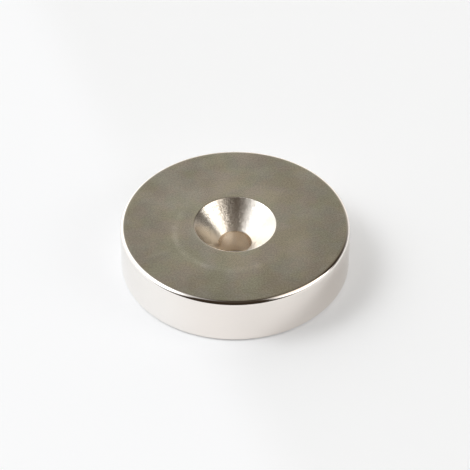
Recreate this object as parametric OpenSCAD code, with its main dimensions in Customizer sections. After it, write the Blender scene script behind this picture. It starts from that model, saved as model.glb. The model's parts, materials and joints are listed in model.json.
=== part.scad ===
// Disc magnet with a countersunk screw hole. It is one sintered and plated piece:
// a flat disc with rounded outer edges, bored through on its axis and countersunk
// from the top face for a flat-head screw.
// Millimetres. The disc stands on z = 0 and its axis is the Z axis.

/* [Disc] */
// Outer diameter of the disc
disc_d = 45; // [25:0.5:80]
// Thickness of the disc, from the back face to the countersunk face
disc_h = 10; // [8:0.5:20]
// Radius of the rounded outer edges
rim_r = 0.8; // [0.2:0.1:2]

/* [Screw hole] */
// Diameter of the straight bore
bore_d = 6.5; // [4:0.1:10]
// Diameter of the countersink where it meets the top face
sink_d = 16; // [11:0.5:18]
// Included angle of the countersink
sink_angle = 90; // [75:1:120]
// Radius that tumbling and plating leave on the edges of the hole
hole_edge_r = 0.2; // [0.05:0.05:0.5]

/* [Hidden] */
$fn = 180;

disc_r = disc_d / 2;
bore_r = bore_d / 2;
sink_r = sink_d / 2;
// Height at which the countersink ends and the straight bore begins
throat_z = disc_h - (sink_r - bore_r) / tan(sink_angle / 2);
// How far a cutting shape runs past the face that it cuts
past = 1;

// Directions in the section plane, in degrees from the outward radius
OUT = 0;
UP = 90;
IN = 180;
DOWN = 270;
// The countersink's flank leans out from the axis by half its included angle
FLANK_UP = UP - sink_angle / 2;
FLANK_DOWN = DOWN - sink_angle / 2;

function direction(angle) = [cos(angle), sin(angle)];

// What a radius r takes off a corner of the section. The two straight edges of the
// corner leave it at edge_a and edge_b, and the material lies between them, turning
// anticlockwise from edge_a to edge_b.
module corner_waste(corner, edge_a, edge_b, r) {
    half = (edge_b - edge_a) / 2;
    inward = direction(edge_a + half);
    to_tangent = r / tan(half);
    to_centre = r / sin(half);
    difference() {
        polygon([
            corner + to_tangent * direction(edge_a),
            corner + to_centre * inward,
            corner + to_tangent * direction(edge_b),
            corner - to_centre * inward
        ]);
        translate(corner + to_centre * inward) circle(r);
    }
}

// Half section of the screw hole: straight bore, then the countersink
module hole_section() {
    sink_past = past * tan(sink_angle / 2);
    polygon([
        [0, -past],
        [bore_r, -past],
        [bore_r, throat_z],
        [sink_r + sink_past, disc_h + past],
        [0, disc_h + past]
    ]);
}

// Half section of the finished disc
module disc_section() {
    difference() {
        square([disc_r, disc_h]);
        hole_section();
        corner_waste([disc_r, disc_h], IN, DOWN, rim_r);
        corner_waste([disc_r, 0], UP, IN, rim_r);
        corner_waste([sink_r, disc_h], FLANK_DOWN, OUT + 360, hole_edge_r);
        corner_waste([bore_r, throat_z], DOWN - 360, FLANK_UP, hole_edge_r);
        corner_waste([bore_r, 0], OUT, UP, hole_edge_r);
    }
}

module magnet() {
    color([0.80, 0.77, 0.72]) rotate_extrude() disc_section();
}

magnet();
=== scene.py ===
"""Looks of the countersunk disc magnet: bright plating, a satin ground face and a grainy countersink,
on a pale floor between two tall soft lights. Lengths are in metres unless a name says otherwise."""
import json
import math

import bpy
from mathutils import Matrix, Vector, noise


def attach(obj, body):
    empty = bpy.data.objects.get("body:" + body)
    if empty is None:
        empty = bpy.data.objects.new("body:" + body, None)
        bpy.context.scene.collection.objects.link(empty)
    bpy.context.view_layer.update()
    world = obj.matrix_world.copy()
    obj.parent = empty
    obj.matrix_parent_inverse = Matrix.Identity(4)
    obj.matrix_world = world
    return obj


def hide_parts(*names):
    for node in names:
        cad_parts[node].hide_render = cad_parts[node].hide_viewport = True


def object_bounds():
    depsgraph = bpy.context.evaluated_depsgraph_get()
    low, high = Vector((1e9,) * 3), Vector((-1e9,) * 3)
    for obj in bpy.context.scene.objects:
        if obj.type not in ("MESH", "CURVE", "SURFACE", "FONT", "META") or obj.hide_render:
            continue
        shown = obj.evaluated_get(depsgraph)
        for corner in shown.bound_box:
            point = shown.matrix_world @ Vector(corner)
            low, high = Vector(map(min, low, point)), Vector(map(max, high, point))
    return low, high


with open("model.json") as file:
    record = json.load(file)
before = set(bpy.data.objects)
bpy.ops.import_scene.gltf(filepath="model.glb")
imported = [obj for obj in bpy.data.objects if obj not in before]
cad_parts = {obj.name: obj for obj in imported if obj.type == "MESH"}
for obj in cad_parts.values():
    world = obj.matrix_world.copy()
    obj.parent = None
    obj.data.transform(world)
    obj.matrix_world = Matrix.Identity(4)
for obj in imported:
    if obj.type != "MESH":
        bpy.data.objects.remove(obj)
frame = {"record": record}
cad_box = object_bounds()

MM = 0.001

# The solid's own sizes: the frame gives the box and the bore, the rest repeats the part's source
DISC_R = cad_box[1].x
DISC_H = cad_box[1].z
BORE_R = frame["record"]["mounts"][0]["dims"]["r_mm"] * MM
RIM_R = 0.8 * MM
SINK_R = 8 * MM
SINK_HALF_ANGLE = math.radians(45)
HOLE_EDGE_R = 0.2 * MM
THROAT_Z = DISC_H - (SINK_R - BORE_R) / math.tan(SINK_HALF_ANGLE)

# Directions in the section plane, in degrees from the outward radius
OUT = 0
UP = 90
IN = 180
DOWN = 270
FULL_TURN = 360

# Mesh fineness
SEGMENTS = 480
RIM_STEPS = 10
HOLE_EDGE_STEPS = 4
FACE_RINGS = 44
BACK_RINGS = 10
SIDE_RINGS = 10
CONE_RINGS = 54
BORE_RINGS = 12

# Unevenness of the countersink's drilled wall: its depth, and the widths of its large and small lumps
GRAIN_DEPTH = 0.004 * MM
LARGE_LUMP = 0.38 * MM
SMALL_LUMP = 0.19 * MM
SMALL_LUMP_SHARE = 0.5
SMALL_LUMP_SHIFT = Vector((7, 3, 5))

# The wall is even along its two edges, and the unevenness grows to its full depth within a short way
EVEN_AT_RIM = 0.3 * MM
GROWS_FROM_RIM = 0.4 * MM
EVEN_AT_THROAT = 0.1 * MM
GROWS_FROM_THROAT = 0.3 * MM

# Tumbling has worn the ground top face down a little towards its edge
CROWN_DEPTH = 0.035 * MM
CROWN_START_R = 14 * MM


def arc(centre, radius, start, end, steps):
    """Points of an arc in the section plane, from angle start to angle end, both in degrees."""
    points = []
    for i in range(steps + 1):
        angle = math.radians(start + (end - start) * i / steps)
        points.append(Vector((centre[0] + radius * math.cos(angle), centre[1] + radius * math.sin(angle))))
    return points


def corner_arc(corner, edge_a, edge_b, radius, steps):
    """Rounds a corner of the section whose straight edges leave it at edge_a and edge_b (degrees, material
    between them anticlockwise). The arc runs anticlockwise, from edge_b's tangent point to edge_a's."""
    half = math.radians(edge_b - edge_a) / 2
    inward = math.radians(edge_a) + half
    reach = radius / math.sin(half)
    centre = (corner[0] + reach * math.cos(inward), corner[1] + reach * math.sin(inward))
    return arc(centre, radius, edge_b + UP, edge_a + DOWN, steps)


def between(start, end, rings):
    """The inner points of a straight stretch that is cut into this many rings."""
    return [start.lerp(end, i / rings) for i in range(1, rings)]


def disc_section():
    """The closed half section, anticlockwise: side, top face, countersink, bore and back face."""
    flank = math.degrees(SINK_HALF_ANGLE)
    corners = [
        corner_arc((DISC_R, 0), UP, IN, RIM_R, RIM_STEPS),
        corner_arc((DISC_R, DISC_H), IN, DOWN, RIM_R, RIM_STEPS),
        corner_arc((SINK_R, DISC_H), DOWN - flank, OUT + FULL_TURN, HOLE_EDGE_R, HOLE_EDGE_STEPS),
        corner_arc((BORE_R, THROAT_Z), DOWN - FULL_TURN, UP - flank, HOLE_EDGE_R, HOLE_EDGE_STEPS),
        corner_arc((BORE_R, 0), OUT, UP, HOLE_EDGE_R, HOLE_EDGE_STEPS),
    ]
    stretches = [SIDE_RINGS, FACE_RINGS, CONE_RINGS, BORE_RINGS, BACK_RINGS]
    points = []
    for i, rings in enumerate(stretches):
        following = corners[(i + 1) % len(corners)]
        points += corners[i] + between(corners[i][-1], following[0], rings)
    for point in points:
        if point.y > DISC_H / 2 and point.x > CROWN_START_R:
            point.y -= CROWN_DEPTH * ((point.x - CROWN_START_R) / (DISC_R - CROWN_START_R)) ** 2
    return points


def sink_grain(place):
    """How far the countersink's rough drilled wall stands off the true cone at a place on it."""
    from_rim = SINK_R - EVEN_AT_RIM - math.hypot(place.x, place.y)
    from_throat = place.z - THROAT_Z - EVEN_AT_THROAT
    fade = min(1, from_rim / GROWS_FROM_RIM, from_throat / GROWS_FROM_THROAT)
    if fade <= 0:
        return 0
    large = noise.noise(place / LARGE_LUMP)
    small = noise.noise(place / SMALL_LUMP + SMALL_LUMP_SHIFT)
    return GRAIN_DEPTH * fade * (large + SMALL_LUMP_SHARE * small)


def lathe(name, section):
    """A closed section turned round the Z axis into one watertight mesh."""
    verts = []
    for point in section:
        for i in range(SEGMENTS):
            turn = 2 * math.pi * i / SEGMENTS
            across = Vector((math.cos(turn), math.sin(turn), 0))
            place = across * point.x + Vector((0, 0, point.y))
            if THROAT_Z < point.y < DISC_H and point.x < SINK_R:
                inward = Vector((0, 0, math.sin(SINK_HALF_ANGLE))) - across * math.cos(SINK_HALF_ANGLE)
                place += inward * sink_grain(place)
            verts.append(place)
    faces = []
    for ring in range(len(section)):
        here = ring * SEGMENTS
        above = (ring + 1) % len(section) * SEGMENTS
        for i in range(SEGMENTS):
            j = (i + 1) % SEGMENTS
            faces.append((here + i, here + j, above + j, above + i))
    mesh = bpy.data.meshes.new(name)
    mesh.from_pydata(verts, [], faces)
    mesh.validate()
    mesh.shade_smooth()
    piece = bpy.data.objects.new(name, mesh)
    bpy.context.scene.collection.objects.link(piece)
    return piece


# The mix node has sockets for each kind of data. These are the ones that it uses for colours.
MIX_SHARE = 0
MIX_LOW = 6
MIX_HIGH = 7
MIX_RESULT = 2


class Nodes:
    """A short way to write a node tree. Most calls make nodes and return their one result."""

    def __init__(self, tree):
        self.tree = tree
        tree.nodes.clear()

    def make(self, kind, inputs=(), **settings):
        """A new node, with each input either set to a value or linked to another node's output."""
        made = self.tree.nodes.new(kind)
        for key, value in settings.items():
            setattr(made, key, value)
        for key, value in dict(inputs).items():
            if isinstance(value, bpy.types.NodeSocket):
                self.tree.links.new(value, made.inputs[key])
            else:
                made.inputs[key].default_value = value
        return made

    def math(self, operation, *values):
        return self.make("ShaderNodeMath", dict(enumerate(values)), operation=operation).outputs[0]

    def vector(self, operation, *values):
        return self.make("ShaderNodeVectorMath", dict(enumerate(values)), operation=operation).outputs[0]

    def scaled(self, vector, share):
        return self.make("ShaderNodeVectorMath", {0: vector, "Scale": share}, operation="SCALE").outputs[0]

    def total(self, first, *others):
        for other in others:
            first = self.math("ADD", first, other)
        return first

    def product(self, first, *others):
        for other in others:
            first = self.math("MULTIPLY", first, other)
        return first

    def step(self, value, low, high, start=0.0, end=1.0):
        """A smooth step from start, at value low, to end, at value high."""
        inputs = {"Value": value, "From Min": low, "From Max": high, "To Min": start, "To Max": end}
        return self.make("ShaderNodeMapRange", inputs, interpolation_type="SMOOTHSTEP").outputs[0]

    def along(self, xyz, direction, origin=(0.0, 0.0)):
        """How far a place, given by its separated coordinates, lies from origin in a level direction."""
        by_x = self.product(self.math("SUBTRACT", xyz.outputs["X"], origin[0]), direction[0])
        by_y = self.product(self.math("SUBTRACT", xyz.outputs["Y"], origin[1]), direction[1])
        return self.total(by_x, by_y)

    def distance(self, xyz, centre=(0.0, 0.0)):
        """How far a place is from an upright line at centre, from its separated coordinates."""
        by_x = self.math("POWER", self.math("SUBTRACT", xyz.outputs["X"], centre[0]), 2.0)
        by_y = self.math("POWER", self.math("SUBTRACT", xyz.outputs["Y"], centre[1]), 2.0)
        return self.math("SQRT", self.total(by_x, by_y))

    def mix(self, share, low, high):
        """A colour between low, at share 0, and high, at share 1."""
        made = self.make("ShaderNodeMix", data_type="RGBA")
        for key, value in ((MIX_SHARE, share), (MIX_LOW, low), (MIX_HIGH, high)):
            if isinstance(value, bpy.types.NodeSocket):
                self.tree.links.new(value, made.inputs[key])
            else:
                made.inputs[key].default_value = (*value, 1.0)
        return made.outputs[MIX_RESULT]

    def noise(self, where, scale, detail=2.0, roughness=0.5):
        inputs = {"Vector": where, "Scale": scale, "Detail": detail, "Roughness": roughness}
        return self.make("ShaderNodeTexNoise", inputs).outputs["Fac"]


# Each fade is a pair: the value where it begins and the value where it is complete.
# These bound the zones of the surface, by radius or by height.
HOLE_FADE = (SINK_R + 0.15 * MM, SINK_R - 0.05 * MM)
EDGE_FADE = (DISC_R - RIM_R - 0.1 * MM, DISC_R - RIM_R + 0.2 * MM)
TOP_FADE = (DISC_H / 2, DISC_H)
THROAT_FADE = (THROAT_Z - 0.1 * MM, THROAT_Z + 0.1 * MM)
CONE_DEPTH_FADE = (DISC_H, THROAT_Z)

# The countersink's wall is smoother at its left, and its grains are flatter at its right. It is painted
# greyer at its left, a painted shade, and whiter at its right, a painted reflection. These fades are by how
# far sideways a place faces, from -1 at the left to 1 at the right.
SMOOTH_SHADED_SIDE_FADE = (-0.62, -0.88)
FLAT_SIDE_FADE = (0.10, 0.44)
CONE_PAINTED_REFLECTION_FADE = (0.0, 0.6)


class Zones:
    """Where a place on the magnet lies: each zone is 1 on its part of the surface and 0 away from it."""

    def __init__(self, n):
        self.where = n.make("ShaderNodeTexCoord").outputs["Object"]
        self.xyz = n.make("ShaderNodeSeparateXYZ", {0: self.where})
        self.radius = n.distance(self.xyz)
        self.sideways = n.math("DIVIDE", self.xyz.outputs["X"], self.radius)

        height = self.xyz.outputs["Z"]
        self.in_hole = n.step(self.radius, *HOLE_FADE)
        on_edge = n.step(self.radius, *EDGE_FADE)
        self.on_face = n.product(n.math("SUBTRACT", 1.0, self.in_hole), n.math("SUBTRACT", 1.0, on_edge))
        self.on_top = n.product(self.on_face, n.step(height, *TOP_FADE))
        self.on_cone = n.product(self.in_hole, n.step(height, *THROAT_FADE))
        self.in_bore = n.math("SUBTRACT", self.in_hole, self.on_cone)

        self.low_on_cone = n.product(self.on_cone, n.step(height, *CONE_DEPTH_FADE))
        self.smooth_shaded_side = n.product(self.on_cone, n.step(self.sideways, *SMOOTH_SHADED_SIDE_FADE))
        self.flat_side = n.product(self.on_cone, n.step(self.sideways, *FLAT_SIDE_FADE))


# A pale violet stain and a brown one on the top face, which fade by distance from their centres
STAIN_CENTRE = (-11.5 * MM, 9.4 * MM)
STAIN_FADE = (6.5 * MM, 1.0 * MM)
BROWN_CENTRE = (11.2 * MM, 10.0 * MM)
BROWN_FADE = (5.0 * MM, 1.0 * MM)

# A worn ring that something round has rubbed into the top face, off centre and only on one side of it. It
# is rougher, and its lighter tone is a painted sheen.
RING_CENTRE = (-0.52 * MM, -1.94 * MM)
RING_R = 11.26 * MM
RING_FADE = (1.1 * MM, 0.0)
RING_SIDE = (-0.682, -0.731)
RING_SIDE_FADE = (1.0 * MM, 4.5 * MM)
RING_BREAKS_SCALE = 420.0
RING_BREAKS_FADE = (0.36, 0.64)
RING_LEAST = 0.35

# A short scuff left of the ring, along a line that passes the axis at SCUFF_OFFSET
SCUFF_ACROSS = (-0.44, 0.897)
SCUFF_OFFSET = 1.07 * MM
SCUFF_FADE = (0.8 * MM, 0.0)
SCUFF_CENTRE = (-14.9 * MM, -8.5 * MM)
SCUFF_LENGTH_FADE = (4.0 * MM, 2.0 * MM)

# The countersink's rim is worn at its left, so that face and countersink run into one another. There the
# face is painted lighter, a painted sheen, and the countersink painted darker, a painted shade.
PAINTED_RIM_SIDE = (-0.99, -0.20)
PAINTED_RIM_SIDE_FADE = (4.8 * MM, 7.0 * MM)
RIM_PAINTED_SHADE_FADE = (SINK_R - 2.2 * MM, SINK_R - 0.1 * MM)
RIM_PAINTED_SHEEN_FADE = (SINK_R + 1.0 * MM, SINK_R)


class Marks:
    """Traces of plating and use, and the painted sheen and shade at the rim's worn left, each 1 where it is
    strongest and 0 away from it.
    """

    def __init__(self, n, at):
        self.stain = n.product(n.step(n.distance(at.xyz, STAIN_CENTRE), *STAIN_FADE), at.on_top)
        self.brown = n.product(n.step(n.distance(at.xyz, BROWN_CENTRE), *BROWN_FADE), at.on_top)
        self.ring = self.worn_ring(n, at)
        self.scuff = self.short_scuff(n, at)
        # Painted sheen on the face and painted shade in the countersink, at the rim's worn left
        painted_rim_side = n.step(n.along(at.xyz, PAINTED_RIM_SIDE), *PAINTED_RIM_SIDE_FADE)
        self.rim_painted_shade = n.product(painted_rim_side, n.step(at.radius, *RIM_PAINTED_SHADE_FADE))
        self.rim_painted_sheen = n.product(painted_rim_side, n.step(at.radius, *RIM_PAINTED_SHEEN_FADE), at.on_top)

    def worn_ring(self, n, at):
        off_ring = n.math("ABSOLUTE", n.math("SUBTRACT", n.distance(at.xyz, RING_CENTRE), RING_R))
        side = n.step(n.along(at.xyz, RING_SIDE, RING_CENTRE), *RING_SIDE_FADE)
        breaks = n.step(n.noise(at.where, RING_BREAKS_SCALE), *RING_BREAKS_FADE, RING_LEAST, 1.0)
        return n.product(n.step(off_ring, *RING_FADE), side, breaks, at.on_top)

    def short_scuff(self, n, at):
        off_line = n.math("ABSOLUTE", n.total(n.along(at.xyz, SCUFF_ACROSS), SCUFF_OFFSET))
        reach = n.step(n.distance(at.xyz, SCUFF_CENTRE), *SCUFF_LENGTH_FADE)
        return n.product(n.step(off_line, *SCUFF_FADE), reach, at.on_top)


# The satin faces' tone: scales are patterns for each metre, and each share is of the range between
# the darkest and the lightest tone
DARK_TONE = (0.623, 0.598, 0.544)
LIGHT_TONE = (0.983, 0.954, 0.888)
MIDDLE_SHARE = 0.5
CLOUD_SCALE = 140.0
CLOUD_FADE = (0.34, 0.66)
CLOUD_SHARE = 0.16
MOTTLE_SCALE = 2800.0
MOTTLE_ROUGHNESS = 0.6
MOTTLE_FADE = (0.3, 0.7)
MOTTLE_SHARE = 0.20
INWARD_FADE = (20.0 * MM, 8.2 * MM)
OUTER_SHARE = -0.11
INNER_SHARE = 0.30
STAIN_SHARE = 0.12
# The worn ring's share is a painted sheen
RING_PAINTED_SHEEN_SHARE = 0.24
# The rim's worn left is painted lighter on the face: a painted sheen
RIM_PAINTED_SHEEN_SHARE = 0.25
SCUFF_SHARE = 0.15


def face_tone(n, at, marks):
    """Light and dark of the satin faces: clouds, fine mottling, a lighter middle and the marks, with
    painted sheen at the worn ring and at the rim's worn left.
    """
    clouds = n.step(n.noise(at.where, CLOUD_SCALE), *CLOUD_FADE, -CLOUD_SHARE, CLOUD_SHARE)
    fine = n.noise(at.where, MOTTLE_SCALE, roughness=MOTTLE_ROUGHNESS)
    mottle = n.step(fine, *MOTTLE_FADE, -MOTTLE_SHARE, MOTTLE_SHARE)
    middle = n.step(at.radius, *INWARD_FADE, OUTER_SHARE, INNER_SHARE)
    shade = n.product(n.total(clouds, mottle, n.product(marks.stain, STAIN_SHARE), middle), at.on_face)
    shade = n.total(
        shade,
        MIDDLE_SHARE,
        n.product(marks.ring, RING_PAINTED_SHEEN_SHARE),
        n.product(marks.rim_painted_sheen, RIM_PAINTED_SHEEN_SHARE),
        n.product(marks.scuff, SCUFF_SHARE),
    )
    return n.mix(shade, DARK_TONE, LIGHT_TONE)


# Faint hues of the plating's film, as factors on the tone: olive to violet, and brown to green
FILM_FADE = (0.36, 0.64)
OLIVE = (0.998, 1.006, 0.962)
VIOLET = (1.002, 0.994, 1.038)
VIOLET_SCALE = 230.0
STAIN_VIOLET = 0.5
BROWN = (1.023, 0.992, 0.985)
GREEN = (0.977, 1.008, 1.000)
GREEN_SCALE = 260.0
GREEN_SHIFT = (0.3, 0.1, 0.2)
BROWN_STRENGTH = 0.7


def film_hue(n, at, marks):
    violet = n.step(n.noise(at.where, VIOLET_SCALE), *FILM_FADE)
    violet = n.total(violet, n.product(marks.stain, STAIN_VIOLET))
    green = n.step(n.noise(n.vector("ADD", at.where, GREEN_SHIFT), GREEN_SCALE), *FILM_FADE)
    green = n.math("SUBTRACT", green, n.product(marks.brown, BROWN_STRENGTH))
    return n.vector("MULTIPLY", n.mix(violet, OLIVE, VIOLET), n.mix(green, BROWN, GREEN))


# The bright turned edge and side are whiter at the left: a painted reflection of the brighter floor there
EDGE_RIGHT_COLOR = (0.885, 0.833, 0.785)
EDGE_PAINTED_REFLECTION_COLOR = (0.942, 0.914, 0.878)
EDGE_PAINTED_REFLECTION_FADE = (-4 * MM, -17 * MM)

# The countersink is painted whiter at its right, a painted reflection, and greyer at its left, a painted
# shade, and darkest in the painted shade where its rim is worn at its left
CONE_COLOR = (0.775, 0.69, 0.585)
CONE_PAINTED_REFLECTION_COLOR = (0.80, 0.77, 0.72)
CONE_PAINTED_SHADE_COLOR = (0.65, 0.60, 0.52)
RIM_PAINTED_SHADE_COLOR = (0.46, 0.41, 0.345)
BORE_COLOR = (0.92, 0.805, 0.665)


def plating_color(n, at, marks):
    face = n.vector("MULTIPLY", face_tone(n, at, marks), film_hue(n, at, marks))
    # Painted reflection: the edge and side are whiter at the left
    edge = n.mix(n.step(at.xyz.outputs["X"], *EDGE_PAINTED_REFLECTION_FADE), EDGE_RIGHT_COLOR, EDGE_PAINTED_REFLECTION_COLOR)
    # Painted reflection whiter at the countersink's right, and painted shade greyer at its left
    cone = n.mix(n.step(at.sideways, *CONE_PAINTED_REFLECTION_FADE), CONE_COLOR, CONE_PAINTED_REFLECTION_COLOR)
    cone = n.mix(at.smooth_shaded_side, cone, CONE_PAINTED_SHADE_COLOR)
    # Painted shade in the countersink where its rim is worn at the left
    cone = n.mix(marks.rim_painted_shade, cone, RIM_PAINTED_SHADE_COLOR)
    hole = n.mix(at.in_bore, cone, BORE_COLOR)
    return n.mix(at.in_hole, n.mix(at.on_face, edge, face), hole)


# Satin grinding of the faces
SATIN_SCALE = 1100.0
SATIN_DETAIL = 4.0
SATIN_ROUGHNESS = 0.6
SATIN_HEIGHT = 0.002 * MM

# The drilled wall's small grains, and how steeply each is tilted its own way
GRAIN_SCALE = 6600.0
GRAIN_SMOOTHNESS = 0.25
GRAIN_MIDDLE = (0.5, 0.5, 0.5)
GRAIN_TILT = 0.25
SMOOTH_SIDE_LESS_TILT = 0.20
FLAT_SIDE_LESS_TILT = 0.14


def plating_normal(n, at):
    """The surface's direction, with its satin bumps and tilted grains."""
    satin = n.noise(at.where, SATIN_SCALE, SATIN_DETAIL, SATIN_ROUGHNESS)
    height = n.product(satin, at.on_face, SATIN_HEIGHT)
    bump = n.make("ShaderNodeBump", {"Height": height, "Distance": 1.0}).outputs[0]
    cells = {"Vector": at.where, "Scale": GRAIN_SCALE, "Smoothness": GRAIN_SMOOTHNESS}
    grains = n.make("ShaderNodeTexVoronoi", cells, feature="SMOOTH_F1").outputs["Color"]
    steepness = n.product(at.on_cone, GRAIN_TILT)
    steepness = n.math("SUBTRACT", steepness, n.product(at.smooth_shaded_side, SMOOTH_SIDE_LESS_TILT))
    steepness = n.math("SUBTRACT", steepness, n.product(at.flat_side, FLAT_SIDE_LESS_TILT))
    tilt = n.scaled(n.vector("SUBTRACT", grains, GRAIN_MIDDLE), steepness)
    return n.vector("NORMALIZE", n.vector("ADD", bump, tilt))


# Roughness of the mirror edge and side, and how much rougher each zone is
EDGE_ROUGHNESS = 0.08
FACE_ROUGHER = 0.12
RING_ROUGHER = 0.05
CONE_ROUGHER = 0.23
LOW_CONE_ROUGHER = 0.05
SMOOTH_SIDE_ROUGHER = -0.07
FLAT_SIDE_ROUGHER = 0.09
BORE_ROUGHER = 0.15


def plating_roughness(n, at, marks):
    return n.total(
        n.product(at.on_face, FACE_ROUGHER),
        EDGE_ROUGHNESS,
        n.product(marks.ring, RING_ROUGHER),
        n.product(at.on_cone, CONE_ROUGHER),
        n.product(at.low_on_cone, LOW_CONE_ROUGHER),
        n.product(at.smooth_shaded_side, SMOOTH_SIDE_ROUGHER),
        n.product(at.flat_side, FLAT_SIDE_ROUGHER),
        n.product(at.in_bore, BORE_ROUGHER),
    )


# A thin haze lies on the bore's wall and on the countersink, most of all on its lower part
BORE_HAZE = 0.15
CONE_HAZE = 0.02
LOW_CONE_HAZE = 0.09
SPECULAR_TINT = (0.95, 0.95, 0.95, 1.0)


def plating():
    """Nickel plating over the whole magnet: mirror edge, satin ground faces, dull grainy screw hole."""
    material = bpy.data.materials.new("nickel_plating")
    material.use_nodes = True
    n = Nodes(material.node_tree)
    at = Zones(n)
    marks = Marks(n, at)
    haze = n.total(
        n.product(at.in_bore, BORE_HAZE),
        n.product(at.on_cone, CONE_HAZE),
        n.product(at.low_on_cone, LOW_CONE_HAZE),
    )
    bsdf = n.make("ShaderNodeBsdfPrincipled", {
        "Base Color": plating_color(n, at, marks),
        "Metallic": n.math("SUBTRACT", 1.0, haze),
        "Specular Tint": SPECULAR_TINT,
        "Roughness": plating_roughness(n, at, marks),
        "Normal": plating_normal(n, at),
    })
    n.make("ShaderNodeOutputMaterial", {"Surface": bsdf.outputs[0]})
    return material


magnet = lathe("plated_disc", disc_section())
magnet.data.materials.append(plating())
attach(magnet, "root")
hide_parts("magnet")


FLOOR_HALF = 4.0
FLOOR_COLOR = (0.962, 0.98, 1.0, 1.0)
FLOOR_WHITE = (0.985, 0.99, 1.0, 1.0)

# How far the floor is lifted to plain white, where the camera or a mirror image sees it, so that its
# shadows stay light. It is lifted more at the left, a painted pool of light. The lift close beside the
# magnet is painted light that stands for light that the magnet's bright side throws there.
WHITE_SHARE = 0.225
TO_LEFT = (-0.94, -0.34)
FLOOR_LEFT_FADE = (4 * MM, 19 * MM)
FLOOR_LEFT_PAINTED_LIGHT_SHARE = 0.42
BESIDE_NEAR_FADE = (-3 * MM, 6 * MM)
BESIDE_FAR_FADE = (19 * MM, 11 * MM)
BESIDE_RADIUS_FADE = (DISC_R + 4.5 * MM, DISC_R)
BESIDE_PAINTED_LIGHT_SHARE = 0.25

# The floor isn't lifted under the magnet, and is lifted less in the mirror image of the right shadow
FOOT_FADE = (DISC_R - 0.7 * MM, DISC_R + 0.2 * MM)
MIRROR_FADE = (-22 * MM, -4 * MM)
MIRROR_LEAST = 0.5


def white_share(n):
    """How far each place on the floor is lifted to white."""
    xyz = n.make("ShaderNodeSeparateXYZ", {0: n.make("ShaderNodeTexCoord").outputs["Object"]})
    to_left = n.along(xyz, TO_LEFT)
    from_axis = n.distance(xyz)
    beside = n.product(
        n.step(to_left, *BESIDE_NEAR_FADE),
        n.step(to_left, *BESIDE_FAR_FADE),
        n.step(from_axis, *BESIDE_RADIUS_FADE),
    )
    # Painted light: a pool of white at the left and close beside the magnet
    share = n.total(
        n.step(to_left, *FLOOR_LEFT_FADE, 0.0, FLOOR_LEFT_PAINTED_LIGHT_SHARE),
        WHITE_SHARE,
        n.product(beside, BESIDE_PAINTED_LIGHT_SHARE),
    )
    rays = n.make("ShaderNodeLightPath").outputs
    mirrored = n.math("MAXIMUM", rays["Is Glossy Ray"], rays["Is Transmission Ray"])
    mirrored = n.product(mirrored, n.step(to_left, *MIRROR_FADE, MIRROR_LEAST, 1.0))
    seen = n.math("MAXIMUM", mirrored, rays["Is Camera Ray"])
    return n.product(share, n.step(from_axis, *FOOT_FADE), seen)


def floor():
    """A plain pale floor, so wide that from the magnet it reaches almost to the horizon."""
    corners = [(x * FLOOR_HALF, y * FLOOR_HALF, 0) for x, y in ((-1, -1), (1, -1), (1, 1), (-1, 1))]
    mesh = bpy.data.meshes.new("floor")
    mesh.from_pydata(corners, [], [(0, 1, 2, 3)])
    plane = bpy.data.objects.new("floor", mesh)
    bpy.context.scene.collection.objects.link(plane)
    material = bpy.data.materials.new("pale_floor")
    material.use_nodes = True
    n = Nodes(material.node_tree)
    matt = n.make("ShaderNodeBsdfDiffuse", {"Color": FLOOR_COLOR}).outputs[0]
    white = n.make("ShaderNodeEmission", {"Color": FLOOR_WHITE}).outputs[0]
    lifted = n.make("ShaderNodeMixShader", {0: white_share(n), 1: matt, 2: white}).outputs[0]
    n.make("ShaderNodeOutputMaterial", {"Surface": lifted})
    mesh.materials.append(material)


# The surroundings, by direction in degrees. Azimuth 0 is the side that the photograph was taken from,
# and 90 is to its right. Each fade is again where it begins and where it is complete.
WHITE = (1.0, 1.0, 1.0)

# The dark room, its ceiling, and a pale rim at the horizon that stands higher at the right
ROOM_COLOR = (0.037, 0.026, 0.017)
CEILING_COLOR = (1.0, 0.95, 0.85)
CEILING_STRENGTH = 0.03
CEILING_FADE = (60.0, 85.0)
HORIZON_STRENGTH = 0.34
HORIZON_FADE = (10.0, -3.0)
RIGHT_HORIZON_STRENGTH = 0.38
RIGHT_HORIZON_AZIMUTH_FADE = (75.0, 90.0)
RIGHT_HORIZON_FADE = (24.0, 8.0)

# The backdrop behind the magnet, bright below and olive above
BACKDROP_AZIMUTH_FADE = (115.0, 170.0)
BACKDROP_STRENGTH = 0.9
BACKDROP_FADE = (44.0, 4.0)
BACKDROP_OLIVE = (1.0, 0.945, 0.745)
BACKDROP_OLIVE_STRENGTH = 0.218
BACKDROP_OLIVE_FADE = (72.0, 38.0)

# The large left light, and the hot middle of its upper half
LEFT_STRENGTH = 1.32
LEFT_FAR_FADE = (-174.0, -140.0)
LEFT_NEAR_FADE = (-46.5, -67.5)
LEFT_LOW_FADE = (12.0, 42.0)
LEFT_LOW_SHARE = 0.77
LEFT_TOP_FADE = (86.0, 57.0)
LEFT_HOT_STRENGTH = 6.7
LEFT_HOT_FAR_FADE = (-125.0, -95.0)
LEFT_HOT_NEAR_FADE = (-62.0, -88.0)
LEFT_HOT_LOW_FADE = (24.0, 52.0)
LEFT_HOT_TOP_FADE = (70.0, 56.0)

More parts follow.
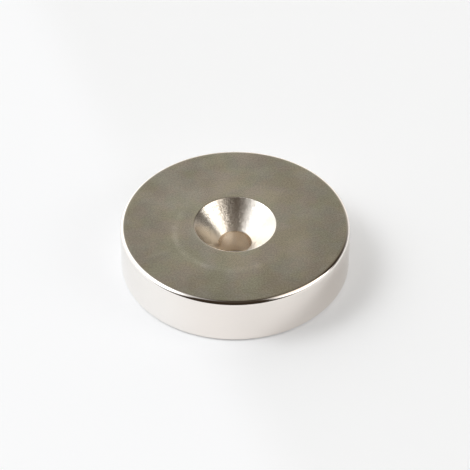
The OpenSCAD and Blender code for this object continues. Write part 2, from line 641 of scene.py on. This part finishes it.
# The smaller right light, white with a hot middle towards the camera, and warm at its far side
RIGHT_STRENGTH = 2.45
RIGHT_NEAR_FADE = (31.5, 54.0)
RIGHT_WARM_FADE = (84.0, 102.0)
RIGHT_LOW_FADE = (4.0, 42.0)
RIGHT_LOW_SHARE = 0.23
RIGHT_HIGH_FADE = (34.0, 54.0)
RIGHT_HIGH_SHARE = 0.53
RIGHT_TOP_FADE = (80.0, 66.0)
RIGHT_HOT_STRENGTH = 1.8
RIGHT_HOT_NEAR_FADE = (52.0, 66.0)
RIGHT_HOT_FAR_FADE = (105.0, 95.0)
RIGHT_HOT_LOW_FADE = (15.0, 25.0)
RIGHT_HOT_TOP_FADE = (44.0, 32.0)
RIGHT_WARM_COLOR = (1.0, 0.92, 0.80)
RIGHT_WARM_STRENGTH = 2.2
RIGHT_FAR_FADE = (90.0, 77.0)

# Edges of the lights that lean: an elevation, and what each degree past it adds to the azimuth that
# the edge's fade is taken by. RIGHT_FAR_LEAN runs on below its elevation, where it takes away.
LEFT_LEAN_BELOW = (26.0, 0.8)
LEFT_LEAN_ABOVE = (54.0, 0.9)
RIGHT_LEAN_BELOW = (38.0, -0.45)
RIGHT_LEAN_ABOVE = (48.0, -0.6)
RIGHT_WARM_LEAN_ABOVE = (34.0, 0.8)
RIGHT_HOT_LEAN = (22.0, 0.8)
RIGHT_FAR_LEAN = (25.0, -0.9)
RIGHT_FAR_LEAN_ABOVE = (54.0, -0.8)


class Sky:
    """Lights by direction. Room, backdrop and the two lights are each a list of glows."""

    def __init__(self, n):
        self.n = n
        direction = n.make("ShaderNodeTexCoord").outputs["Generated"]
        x, y, z = n.make("ShaderNodeSeparateXYZ", {0: direction}).outputs
        self.azimuth = n.math("DEGREES", n.math("ARCTAN2", x, n.product(y, -1.0)))
        self.elevation = n.math("DEGREES", n.math("ARCSINE", z))

    def glow(self, color, strength, *masks):
        inputs = {"Color": (*color, 1.0), "Strength": self.n.product(strength, *masks)}
        return self.n.make("ShaderNodeBackground", inputs).outputs[0]

    def above(self, limit, slope):
        """What the elevation's degrees above a limit add to an azimuth."""
        past = self.n.math("MAXIMUM", self.n.math("SUBTRACT", self.elevation, limit), 0.0)
        return self.n.product(past, slope)

    def below(self, limit, slope):
        """What the elevation's degrees below a limit add to an azimuth."""
        short = self.n.math("MAXIMUM", self.n.math("SUBTRACT", limit, self.elevation), 0.0)
        return self.n.product(short, slope)

    def room(self):
        n = self.n
        at_right = n.step(self.azimuth, *RIGHT_HORIZON_AZIMUTH_FADE)
        return [
            self.glow(ROOM_COLOR, 1.0),
            self.glow(CEILING_COLOR, CEILING_STRENGTH, n.step(self.elevation, *CEILING_FADE)),
            self.glow(WHITE, HORIZON_STRENGTH, n.step(self.elevation, *HORIZON_FADE)),
            self.glow(WHITE, RIGHT_HORIZON_STRENGTH, at_right, n.step(self.elevation, *RIGHT_HORIZON_FADE)),
        ]

    def backdrop(self):
        n = self.n
        far = n.step(n.math("ABSOLUTE", self.azimuth), *BACKDROP_AZIMUTH_FADE)
        high = n.step(self.elevation, *BACKDROP_OLIVE_FADE)
        return [
            self.glow(WHITE, BACKDROP_STRENGTH, far, n.step(self.elevation, *BACKDROP_FADE)),
            self.glow(BACKDROP_OLIVE, BACKDROP_OLIVE_STRENGTH, far, high),
        ]

    def left_light(self):
        """Its near edge leans away from the camera both below and above."""
        n = self.n
        near = n.total(self.azimuth, self.below(*LEFT_LEAN_BELOW), self.above(*LEFT_LEAN_ABOVE))
        whole = [
            n.step(self.azimuth, *LEFT_FAR_FADE),
            n.step(near, *LEFT_NEAR_FADE),
            n.step(self.elevation, *LEFT_LOW_FADE, LEFT_LOW_SHARE, 1.0),
            n.step(self.elevation, *LEFT_TOP_FADE),
        ]
        hot = [
            n.step(self.azimuth, *LEFT_HOT_FAR_FADE),
            n.step(near, *LEFT_HOT_NEAR_FADE),
            n.step(self.elevation, *LEFT_HOT_LOW_FADE),
            n.step(self.elevation, *LEFT_HOT_TOP_FADE),
        ]
        return [self.glow(WHITE, LEFT_STRENGTH, *whole), self.glow(WHITE, LEFT_HOT_STRENGTH, *hot)]

    def right_light(self):
        """Its near edge leans away from the camera below and above, and its far edge leans back above."""
        n = self.n
        near = n.total(self.azimuth, self.below(*RIGHT_LEAN_BELOW), self.above(*RIGHT_LEAN_ABOVE))
        warm_side = n.total(self.azimuth, self.above(*RIGHT_WARM_LEAN_ABOVE))
        lean_start, lean_slope = RIGHT_FAR_LEAN
        far = n.total(
            self.azimuth,
            n.product(n.math("SUBTRACT", self.elevation, lean_start), lean_slope),
            self.above(*RIGHT_FAR_LEAN_ABOVE),
        )
        hot_far = n.total(self.azimuth, self.below(*RIGHT_HOT_LEAN), self.above(*RIGHT_HOT_LEAN))
        height = n.product(
            n.step(self.elevation, *RIGHT_LOW_FADE, RIGHT_LOW_SHARE, 1.0),
            n.step(self.elevation, *RIGHT_HIGH_FADE, 1.0, RIGHT_HIGH_SHARE),
            n.step(self.elevation, *RIGHT_TOP_FADE),
        )
        warm = n.step(warm_side, *RIGHT_WARM_FADE)
        white = [n.step(near, *RIGHT_NEAR_FADE), n.math("SUBTRACT", 1.0, warm), height]
        hot = [
            n.step(self.azimuth, *RIGHT_HOT_NEAR_FADE),
            n.step(hot_far, *RIGHT_HOT_FAR_FADE),
            n.step(self.elevation, *RIGHT_HOT_LOW_FADE),
            n.step(self.elevation, *RIGHT_HOT_TOP_FADE),
        ]
        return [
            self.glow(WHITE, RIGHT_STRENGTH, *white),
            self.glow(WHITE, RIGHT_HOT_STRENGTH, *hot),
            self.glow(RIGHT_WARM_COLOR, RIGHT_WARM_STRENGTH, warm, n.step(far, *RIGHT_FAR_FADE), height),
        ]


def studio():
    """A dark room with a backdrop and two tall soft lights, as a world that lights by direction."""
    world = bpy.data.worlds.new("studio")
    bpy.context.scene.world = world
    world.use_nodes = True
    n = Nodes(world.node_tree)
    sky = Sky(n)
    glows = sky.room() + sky.backdrop() + sky.left_light() + sky.right_light()
    light = glows[0]
    for more in glows[1:]:
        light = n.make("ShaderNodeAddShader", {0: light, 1: more}).outputs[0]
    n.make("ShaderNodeOutputWorld", {"Surface": light})


# The photograph's own view, as a pinhole camera that was fitted to it
CAMERA_ELEVATION = math.radians(42.03)
CAMERA_ROLL = math.radians(-0.33)
CAMERA_DISTANCE = 0.5065
CAMERA_AIM = Vector((0, 7.9 * MM, 0))
FOCAL_PIXELS = 2528.0
PHOTO_PIXELS = 470.0
SENSOR_WIDTH_MM = 36.0
CLIP_START = 0.01
CLIP_END = 20.0


def camera():
    data = bpy.data.cameras.new("camera")
    data.sensor_width = SENSOR_WIDTH_MM
    data.lens = FOCAL_PIXELS / PHOTO_PIXELS * SENSOR_WIDTH_MM
    data.clip_start = CLIP_START
    data.clip_end = CLIP_END
    cam = bpy.data.objects.new("camera", data)
    bpy.context.scene.collection.objects.link(cam)
    back = Vector((0, -math.cos(CAMERA_ELEVATION), math.sin(CAMERA_ELEVATION)))
    turn = Matrix.Rotation(math.pi / 2 - CAMERA_ELEVATION, 4, "X") @ Matrix.Rotation(CAMERA_ROLL, 4, "Z")
    cam.matrix_world = Matrix.Translation(CAMERA_AIM + CAMERA_DISTANCE * back) @ turn
    bpy.context.scene.camera = cam


floor()
studio()
camera()
bpy.context.scene.view_settings.view_transform = "Standard"

bpy.context.view_layer.update()
